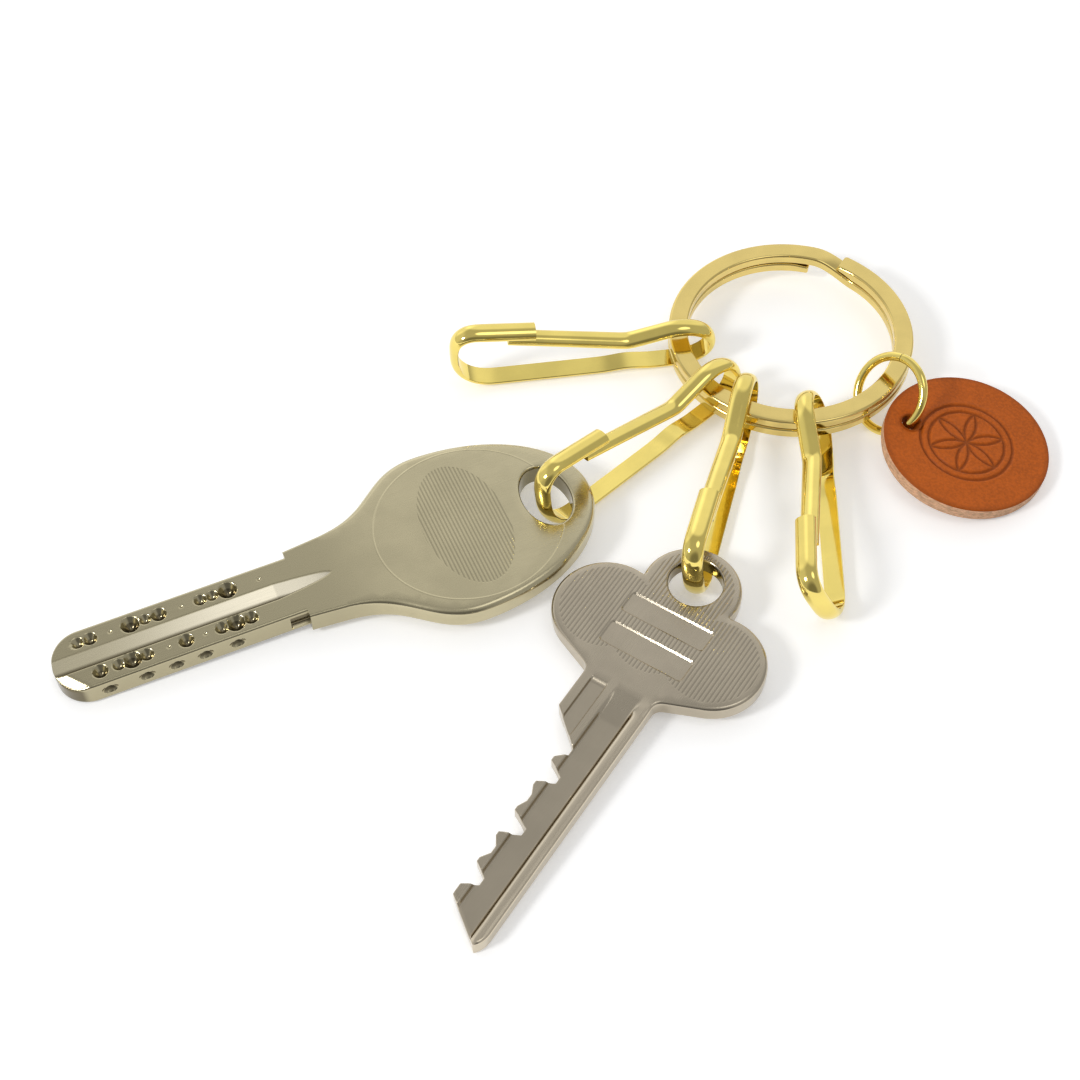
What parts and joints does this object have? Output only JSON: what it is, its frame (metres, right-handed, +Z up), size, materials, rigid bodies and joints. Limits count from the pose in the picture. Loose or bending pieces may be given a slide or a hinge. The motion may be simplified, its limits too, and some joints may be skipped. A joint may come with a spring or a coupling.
{
  "type": "keychain",
  "caption": "Keychain: a flat-wire split ring with bent-strip spring hooks and a round leather tag on a jump ring, with keys clipped on; hooks, tag and keys swing, gates spring in.",
  "frame": {"origin": "middle of the bounding box, on the table that the key ring lies on", "axes": "+X runs right and +Y away as in the picture, +Z up from the table"},
  "size_m": [0.1146, 0.096, 0.0106],
  "materials": {
    "ring_metal": "polished, pale gold plate",
    "gold": "polished, yellow gold plate",
    "leather": "smooth vegetable-tanned, tooled",
    "warm_nickel": "satin nickel, warm",
    "cool_nickel": "satin nickel, cool"
  },
  "bodies": {
    "split_ring": {"split_ring": "ring_metal"},
    "hook_1": {"hook_1": "gold"},
    "hook_1_gate": {"hook_1_gate": "gold"},
    "hook_2": {"hook_2": "gold"},
    "hook_2_gate": {"hook_2_gate": "gold"},
    "hook_3": {"hook_3": "gold"},
    "hook_3_gate": {"hook_3_gate": "gold"},
    "hook_4": {"hook_4": "gold"},
    "hook_4_gate": {"hook_4_gate": "gold"},
    "jump_ring": {"jump_ring": "gold"},
    "leather_tag": {"leather_tag": "leather"},
    "dimple_key": {"dimple_key": "warm_nickel"},
    "pin_key": {"pin_key": "cool_nickel"}
  },
  "joints": [
    {"name": "hook_1_swing", "type": "hinge", "parent": "split_ring", "child": "hook_1", "pos_m": [0.01379, 0.03207, 0.00352], "axis": [-0.0698, 0.9976, 0], "range_deg": [0, 90]},
    {"name": "hook_1_gate_spring", "type": "hinge", "parent": "hook_1", "child": "hook_1_gate", "pos_m": [0.00863, 0.03118, 0.00527], "axis": [0.1386, -0.9859, -0.0941], "range_deg": [0, 12], "stiffness_Nm_per_rad": 0.02},
    {"name": "hook_2_swing", "type": "hinge", "parent": "split_ring", "child": "hook_2", "pos_m": [0.017, 0.02413, 0.00352], "axis": [0.6441, -0.7649, 0], "range_deg": [-90, 0]},
    {"name": "hook_2_gate_spring", "type": "hinge", "parent": "hook_2", "child": "hook_2_gate", "pos_m": [0.01342, 0.02104, 0.00526], "axis": [0.6817, -0.7208, 0.1253], "range_deg": [0, 12], "stiffness_Nm_per_rad": 0.02},
    {"name": "hook_3_swing", "type": "hinge", "parent": "split_ring", "child": "hook_3", "pos_m": [0.02088, 0.02095, 0.00352], "axis": [-0.8746, 0.4848, 0], "range_deg": [0, 90]},
    {"name": "hook_3_gate_spring", "type": "hinge", "parent": "hook_3", "child": "hook_3_gate", "pos_m": [0.0195, 0.01652, 0.00527], "axis": [0.9607, -0.2556, 0.108], "range_deg": [0, 12], "stiffness_Nm_per_rad": 0.02},
    {"name": "hook_4_swing", "type": "hinge", "parent": "split_ring", "child": "hook_4", "pos_m": [0.02929, 0.01932, 0.00352], "axis": [0.9923, 0.1236, 0], "range_deg": [-90, 0]},
    {"name": "hook_4_gate_spring", "type": "hinge", "parent": "hook_4", "child": "hook_4_gate", "pos_m": [0.02846, 0.01381, 0.00484], "axis": [0.8827, -0.02, 0.4695], "range_deg": [0, 12], "stiffness_Nm_per_rad": 0.02},
    {"name": "jump_ring_swing", "type": "hinge", "parent": "split_ring", "child": "jump_ring", "pos_m": [0.03796, 0.02391, 0.00352], "axis": [-0.66, -0.7513, 0], "range_deg": [0, 75]},
    {"name": "leather_tag_swing", "type": "hinge", "parent": "jump_ring", "child": "leather_tag", "pos_m": [0.04039, 0.01911, 0.00299], "axis": [-0.6677, -0.0366, -0.7435], "range_deg": [0, 60]},
    {"name": "dimple_key_swing", "type": "hinge", "parent": "hook_2", "child": "dimple_key", "pos_m": [0.00053, 0.00887, 0.00532], "axis": [-0.6817, 0.7208, -0.1253], "range_deg": [0, 75]},
    {"name": "pin_key_swing", "type": "hinge", "parent": "hook_3", "child": "pin_key", "pos_m": [0.01494, -0.00061, 0.00533], "axis": [0.9607, -0.2556, 0.108], "range_deg": [-75, 0]}
  ]
}
